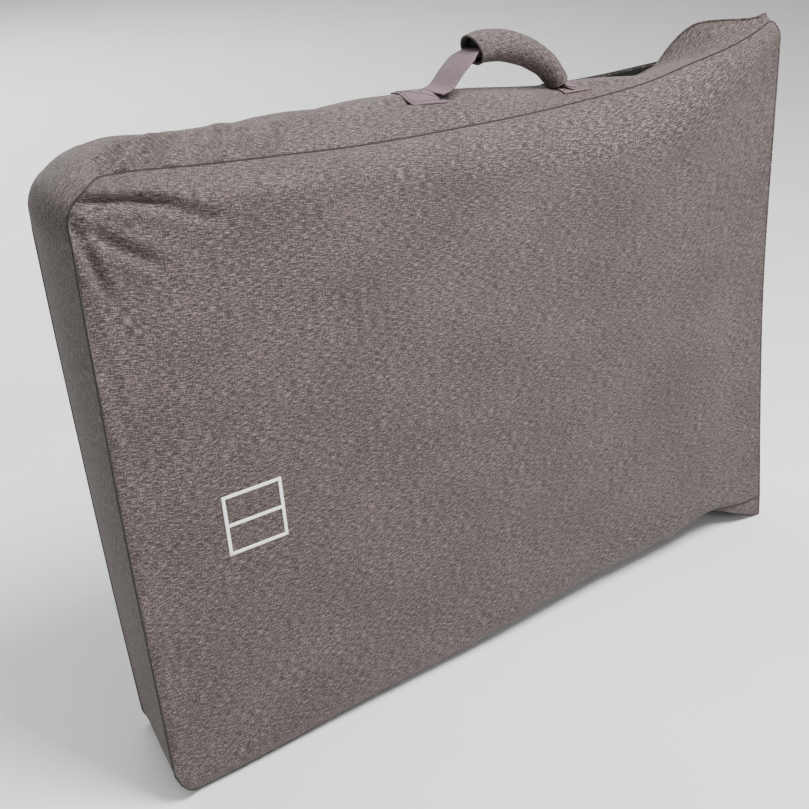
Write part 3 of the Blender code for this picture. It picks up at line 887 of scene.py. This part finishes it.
def foot_stitches(side, centre, length):
    """A box and a cross of thread, each line a row of short raised stitches."""
    a = length / 2 - STITCH_INSET
    b = STRAP_WIDTH / 2 - STITCH_INSET
    corners = [(-a, -b), (a, -b), (a, b), (-a, b)]
    lines = list(zip(corners, corners[1:] + corners[:1]))
    lines = lines + [(corners[0], corners[2]), (corners[1], corners[3])]
    for index, (start, end) in enumerate(lines):
        t = np.linspace(0.0, 1.0, 61)
        x = centre + start[0] + (end[0] - start[0]) * t
        y = start[1] + (end[1] - start[1]) * t
        hump = 0.0005 * np.abs(np.sin(t * math.pi * 12))
        z = top_height(x, y) + STRAP + FOOT_LIFT + hump
        sweep(f"foot_{side}_stitch_{index + 1}", np.stack([x, y, z], axis=-1), THREAD_RADIUS, THREAD,
              sides=5)


for side, (centre, length) in FEET.items():
    foot_patch(side, centre, length)
    foot_stitches(side, centre, length)

# %% Handle straps and grip
left_foot_z = float(top_height(np.array([0.000]), np.array([0.0]))[0]) + STRAP
right_foot_z = float(top_height(np.array([0.170]), np.array([0.0]))[0]) + STRAP
HANDLE_LINE = [(-0.004, left_foot_z), (0.010, left_foot_z + 0.004), (0.028, left_foot_z + 0.020),
               (0.048, 0.6965), (0.068, 0.7005), (0.098, 0.6965), (0.128, 0.6850), (0.153, 0.6690),
               (0.167, right_foot_z + 0.014), (0.174, right_foot_z + 0.003), (0.182, right_foot_z)]
line = smooth_path(HANDLE_LINE, 160)
GRIP_FROM = 0.052
GRIP_TO = 0.172
GATHER = 0.34           # how much narrower the webbing is inside the grip
SLEEVE_RADIUS = 0.0190
SLEEVE_BORE = 0.0165
CORE_RADIUS = 0.0112
CORE_INSET = 0.006


def strap_piece(name, part, node):
    """A flat strap across Y that follows part of the handle's line."""
    enters = smooth_step(GRIP_FROM - 0.014, GRIP_FROM + 0.002, part[:, :1])
    inside = enters * (1.0 - smooth_step(GRIP_TO, GRIP_TO + 0.008, part[:, :1]))
    y = np.linspace(-0.5, 0.5, 12)[None, :] * STRAP_WIDTH * (1.0 - GATHER * inside)
    x = np.broadcast_to(part[:, :1], (len(part), 12))
    z = np.broadcast_to(part[:, 1:], (len(part), 12))
    points = np.stack([x, np.broadcast_to(y, x.shape), z], axis=-1)
    item = surface(name, points, WEBBING, "handle", outward=(0, 0, 1),
                   uv=np.stack([travelled(points, 0), travelled(points, 1)], axis=-1))
    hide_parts(node)
    return thicken(item, STRAP, 0.0)


left_part = line[line[:, 0] < GRIP_FROM + 0.012]
right_part = line[line[:, 0] > GRIP_TO - 0.012]
strap_piece("strap_left", left_part, "handle_strap_left")
strap_piece("strap_right", right_part, "handle_strap_right")


def grip_rings(part, radius, squash, count=28):
    """Rings across the handle's line, squash times as high as wide, with gathered ripples."""
    path = np.stack([part[:, 0], np.zeros(len(part)), part[:, 1]], axis=-1)
    tangent = np.gradient(path, axis=0)
    tangent /= np.linalg.norm(tangent, axis=1, keepdims=True)
    up = np.cross(tangent, np.array([0.0, 1.0, 0.0])) * -1.0
    angle = np.linspace(0.0, 2.0 * math.pi, count, endpoint=False)
    run = np.linspace(0.0, 1.0, len(part))[:, None]
    ripple = 1.0 + 0.007 * np.sin(run * 30.0 + 2.0 * np.sin(angle)[None, :])
    ripple = ripple + 0.012 * np.sin(3.0 * angle + run * 5.0)
    ripple = ripple * (1.0 - 0.24 * smooth_step(0.25, 1.0, run))
    side = np.cos(angle)[None, :, None] * np.array([0.0, 1.0, 0.0])
    rise = np.sin(angle)[None, :, None] * up[:, None] * squash
    return path[:, None] + (side + rise) * (radius * ripple)[:, :, None]


def grip_sleeve_piece():
    """A rolled cloth tube: its outer rings, a rounded lip, and its inner rings back again."""
    part = line[(line[:, 0] > GRIP_FROM) & (line[:, 0] < GRIP_TO)]
    outer = grip_rings(part, SLEEVE_RADIUS, 0.92)
    inner = grip_rings(part, SLEEVE_BORE, 0.90)
    points = np.concatenate([outer, inner[::-1]], axis=0)
    around = np.linspace(0.0, 2.0 * math.pi * SLEEVE_RADIUS, outer.shape[1])[None, :]
    run = travelled(points, 0)
    uv = np.stack([run, np.broadcast_to(around, run.shape)], axis=-1)
    item = surface("grip_sleeve_cloth", points, BAG_CLOTH, "handle", wrap_rows=True,
                   wrap_columns=True, uv=uv)
    shape = bmesh.new()
    shape.from_mesh(item.data)
    bmesh.ops.recalc_face_normals(shape, faces=shape.faces)
    shape.to_mesh(item.data)
    shape.free()
    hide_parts("grip_sleeve")
    return item


grip_sleeve_piece()
core_part = line[(line[:, 0] > GRIP_FROM + CORE_INSET) & (line[:, 0] < GRIP_TO - CORE_INSET)]
core_path = np.stack([core_part[:, 0], np.zeros(len(core_part)), core_part[:, 1]], axis=-1)
core = sweep("grip_core_foam", core_path, CORE_RADIUS, FOAM, "handle", sides=18)
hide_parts("grip_core")
print("handle done")

# %% [markdown]
# The pen's rigid parts already have their true shape, so they only need a finish. The
# finish is chosen from each node's name.

# %% Finishes of the rigid parts
FINISHES = [("_pin", STEEL), ("_post", ALUMINIUM), ("_tube", ALUMINIUM), ("_rail", ALUMINIUM),
            ("_foot", PLASTIC), ("_corner", PLASTIC), ("_lock", PLASTIC), ("_release_button", BUTTON),
            ("_floor_board", BOARD)]
for name, item in NODES.items():
    for ending, finish in FINISHES:
        if name.endswith(ending):
            item.data.materials.clear()
            item.data.materials.append(finish)
            break
print("finishes by name:", len(FINISHES))

# %% [markdown]
# Walls and end panels are mesh with a cloth band round the edge. A sheet's grid carries
# both: quads near the border take the band's material instead of the mesh.


# %% Mesh panels
BORDER_SHARE = 0.06
SHEET_THICKNESS = 0.0012


def stretched_panel(node, body):
    """A flat sheet inside a node's box: a grid over two axes, bowed a little across it."""
    low, high = np.array(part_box(node)[0]), np.array(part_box(node)[1])
    u = np.linspace(0.0, 1.0, 41)[:, None]
    v = np.linspace(0.0, 1.0, 41)[None, :]
    x = low[0] + (high[0] - low[0]) * np.broadcast_to(u, (41, 41))
    z = low[2] + (high[2] - low[2]) * np.broadcast_to(v, (41, 41))
    y = np.full_like(x, (low[1] + high[1]) / 2)
    y = y + 0.0003 * np.sin(u * 14.0) * np.sin(v * 11.0)
    item = surface(node + "_mesh", np.stack([x, y, z], axis=-1), MESH, body)
    item.data.materials.append(BINDING)
    band = (np.minimum(u, 1 - u) < BORDER_SHARE) | (np.minimum(v, 1 - v) < BORDER_SHARE)
    quads = band[:-1, :-1] & band[1:, 1:]
    item.data.polygons.foreach_set("material_index", quads.reshape(-1).astype(np.int32))
    thicken(item, SHEET_THICKNESS, 0.0)
    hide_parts(node)
    return item


for end in ("front", "back"):
    stretched_panel(end + "_end_fabric", end + "_frame")
    for side in ("left", "right"):
        stretched_panel(f"{end}_{side}_wall", f"{end}_{side}_wall")
print("two end panels and four half walls")

# %% [markdown]
# The mattress is a thin quilt in two halves that fold with the floor. Its face is a dome
# that falls to the border, multiplied by a wave whose valleys are the sewn channels.


def quilted_pad(node, body):
    """A thin pad: its face swells between sewn channels and falls to a piped edge."""
    low, high = np.array(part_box(node)[0]), np.array(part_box(node)[1])
    side = 1.0 if low[1] > 0 else -1.0
    u = np.linspace(0.0, 1.0, 121)[:, None]
    v = np.linspace(0.0, 1.0, 81)[None, :]
    rim = np.minimum(np.minimum(u, 1 - u) * 10.0, np.minimum(v, 1 - v) * 8.0)
    dome = np.sqrt(np.clip(rim, 0.0, 1.0) * (2.0 - np.clip(rim, 0.0, 1.0)))
    tuft = np.abs(np.sin(u * math.pi * 6.0)) ** 0.4 * np.abs(np.sin(v * math.pi * 4.0)) ** 0.4
    thickness = high[1] - low[1]
    rise = thickness * (0.30 + 0.45 * dome + 0.25 * dome * tuft)
    inner = low[1] if side > 0 else high[1]
    x = np.broadcast_to(low[0] + (high[0] - low[0]) * u, rise.shape)
    z = np.broadcast_to(low[2] + (high[2] - low[2]) * v, rise.shape)
    face = np.stack([x, inner + side * rise, z], axis=-1)
    base = np.stack([x, np.full_like(x, inner), z], axis=-1)
    item = surface(node + "_quilt", face, QUILT, body, outward=(0, side, 0))
    cap = surface(node + "_back", base, QUILT, body, outward=(0, -side, 0))
    return join_pad(item, cap, node)


def join_pad(face, cap, node):
    """Sew the two faces of a pad together along their borders."""
    shape = bmesh.new()
    shape.from_mesh(face.data)
    shape.from_mesh(cap.data)
    rims = [edge for edge in shape.edges if edge.is_boundary]
    bmesh.ops.bridge_loops(shape, edges=rims)
    bmesh.ops.recalc_face_normals(shape, faces=shape.faces)
    shape.to_mesh(face.data)
    shape.free()
    bpy.data.objects.remove(cap)
    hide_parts(node)
    return face


for end in ("front", "back"):
    quilted_pad(end + "_mattress", end + "_floor")
print("two mattress halves")

# %% [markdown]
# Each piece of the bag and its handle gets its own copy of its mesh.

# %% Bag gives way
flattened = 0
for item in list(bpy.context.scene.objects):
    if item.type == "MESH" and item.get("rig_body") in ("bag", "handle") and item.name not in NODES:
        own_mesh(item)
        flattened += 1
print("pieces that flatten:", flattened)

# %% [markdown]
# The floor is one plain plane, wide enough that its edge stays out of the main view.

# %% Floor
FLOOR_SIZE = 40.0
bpy.ops.mesh.primitive_plane_add(size=FLOOR_SIZE, location=(0.0, 0.0, -0.0005))
floor = bpy.context.object
floor.name = "studio_floor"
floor_recipe = Recipe("pale_floor", roughness=0.8)
cloudy = floor_recipe.noise(floor_recipe.place(), (3.0, 3.0, 3.0), 2.0)
FLOOR_TONES = [(0.3, (0.80, 0.80, 0.80)), (0.7, (0.84, 0.84, 0.84))]
floor_recipe.use("Base Color", floor_recipe.ramp(cloudy, FLOOR_TONES))
floor.data.materials.append(floor_recipe.material)
print("floor", FLOOR_SIZE, "m across")
